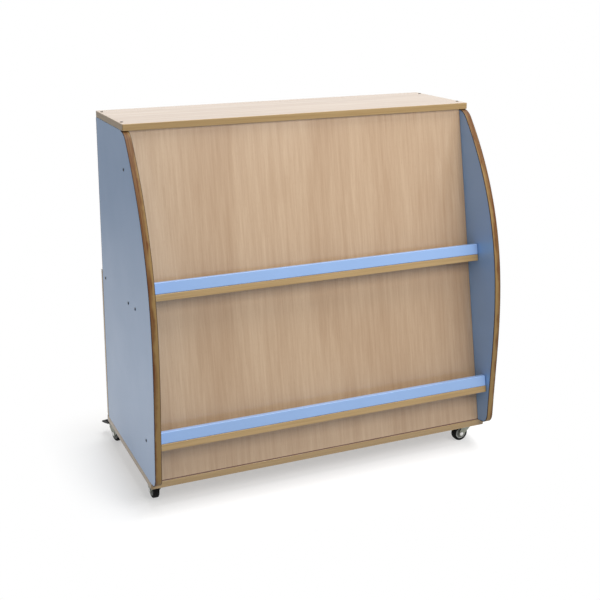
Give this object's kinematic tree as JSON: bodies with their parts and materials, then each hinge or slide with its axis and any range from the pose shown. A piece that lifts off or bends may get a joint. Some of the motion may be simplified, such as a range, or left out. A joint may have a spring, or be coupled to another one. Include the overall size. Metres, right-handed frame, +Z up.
{
  "type": "picture book display",
  "caption": "Mobile picture book display: a leaning panel with lipped ledges between bellied sides, a rear shelf over a cupboard with pivoted doors, and braked swivel casters.",
  "frame": {"origin": "on the floor, under the middle of the bounding box", "axes": "+Z up, the display faces -Y, +X to the right of someone who looks at its front"},
  "size_m": [0.905, 0.5006, 0.8781],
  "materials": {
    "beech_laminate": "satin beech pattern laminate on board",
    "beech_edging": "satin beech pattern edge band",
    "blue_laminate": "satin blue laminate on board",
    "blue_plastic": "matte moulded plastic",
    "bright_steel": "plated steel",
    "zinc_steel": "zinc plated pressed steel",
    "grey_plastic": "matte moulded plastic",
    "black_plastic": "matte moulded plastic",
    "black_rubber": "matte rubber"
  },
  "bodies": {
    "carcass": {"top_board": "beech_laminate", "base_board": "beech_laminate", "left_side": "blue_laminate", "left_side_front_band": "beech_edging", "left_side_rear_band": "beech_edging", "right_side": "blue_laminate", "right_side_front_band": "beech_edging", "right_side_rear_band": "beech_edging", "display_panel": "beech_laminate", "lower_ledge": "beech_laminate", "lower_lip": "blue_laminate", "upper_ledge": "beech_laminate", "upper_lip": "blue_laminate", "rear_shelf": "beech_laminate", "left_door_lower_pivot": "bright_steel", "left_door_upper_pivot": "bright_steel", "left_door_catch": "grey_plastic", "right_door_lower_pivot": "bright_steel", "right_door_upper_pivot": "bright_steel", "right_door_catch": "grey_plastic", "front_left_caster_plate": "zinc_steel", "rear_left_caster_plate": "zinc_steel", "front_right_caster_plate": "zinc_steel", "rear_right_caster_plate": "zinc_steel"},
    "left_door": {"left_door": "beech_laminate", "left_door_knob": "blue_plastic", "left_door_strike": "bright_steel"},
    "right_door": {"right_door": "beech_laminate", "right_door_knob": "blue_plastic", "right_door_strike": "bright_steel"},
    "front_left_swivel": {"front_left_fork": "zinc_steel", "front_left_axle": "bright_steel", "front_left_brake_pin": "bright_steel"},
    "front_left_wheel": {"front_left_hub": "grey_plastic", "front_left_tyre": "black_rubber"},
    "front_left_brake": {"front_left_brake_pedal": "black_plastic"},
    "rear_left_swivel": {"rear_left_fork": "zinc_steel", "rear_left_axle": "bright_steel", "rear_left_brake_pin": "bright_steel"},
    "rear_left_wheel": {"rear_left_hub": "grey_plastic", "rear_left_tyre": "black_rubber"},
    "rear_left_brake": {"rear_left_brake_pedal": "black_plastic"},
    "front_right_swivel": {"front_right_fork": "zinc_steel", "front_right_axle": "bright_steel"},
    "front_right_wheel": {"front_right_hub": "grey_plastic", "front_right_tyre": "black_rubber"},
    "rear_right_swivel": {"rear_right_fork": "zinc_steel", "rear_right_axle": "bright_steel"},
    "rear_right_wheel": {"rear_right_hub": "grey_plastic", "rear_right_tyre": "black_rubber"}
  },
  "joints": [
    {"name": "left_door_swing", "type": "hinge", "parent": "carcass", "child": "left_door", "pos_m": [-0.44096, 0.19582, 0.0701], "axis": [0, 0, 1], "range_deg": [0, 180]},
    {"name": "right_door_swing", "type": "hinge", "parent": "carcass", "child": "right_door", "pos_m": [0.44604, 0.19582, 0.0701], "axis": [0, 0, -1], "range_deg": [0, 180]},
    {"name": "front_left_swivel_turn", "type": "hinge", "parent": "carcass", "child": "front_left_swivel", "pos_m": [-0.42246, -0.16068, 0.0417], "axis": [0, 0, 1], "continuous": true},
    {"name": "front_left_wheel_roll", "type": "hinge", "parent": "front_left_swivel", "child": "front_left_wheel", "pos_m": [-0.42246, -0.14168, 0.0205], "axis": [1, 0, 0], "continuous": true},
    {"name": "front_left_brake_press", "type": "hinge", "parent": "front_left_swivel", "child": "front_left_brake", "pos_m": [-0.42246, -0.12108, 0.03718], "axis": [-1, 0, 0], "range_deg": [0, 14]},
    {"name": "rear_left_swivel_turn", "type": "hinge", "parent": "carcass", "child": "rear_left_swivel", "pos_m": [-0.42246, 0.16582, 0.0417], "axis": [0, 0, 1], "continuous": true},
    {"name": "rear_left_wheel_roll", "type": "hinge", "parent": "rear_left_swivel", "child": "rear_left_wheel", "pos_m": [-0.42641, 0.18441, 0.0205], "axis": [0.9781, 0.2079, 0], "continuous": true},
    {"name": "rear_left_brake_press", "type": "hinge", "parent": "rear_left_swivel", "child": "rear_left_brake", "pos_m": [-0.43069, 0.20455, 0.03718], "axis": [-0.9781, -0.2079, 0], "range_deg": [0, 14]},
    {"name": "front_right_swivel_turn", "type": "hinge", "parent": "carcass", "child": "front_right_swivel", "pos_m": [0.42754, -0.16068, 0.0417], "axis": [0, 0, 1], "continuous": true},
    {"name": "front_right_wheel_roll", "type": "hinge", "parent": "front_right_swivel", "child": "front_right_wheel", "pos_m": [0.40854, -0.16068, 0.0205], "axis": [0, 1, 0], "continuous": true},
    {"name": "rear_right_swivel_turn", "type": "hinge", "parent": "carcass", "child": "rear_right_swivel", "pos_m": [0.42754, 0.16582, 0.0417], "axis": [0, 0, 1], "continuous": true},
    {"name": "rear_right_wheel_roll", "type": "hinge", "parent": "rear_right_swivel", "child": "rear_right_wheel", "pos_m": [0.40969, 0.17232, 0.0205], "axis": [0.342, 0.9397, 0], "continuous": true}
  ]
}
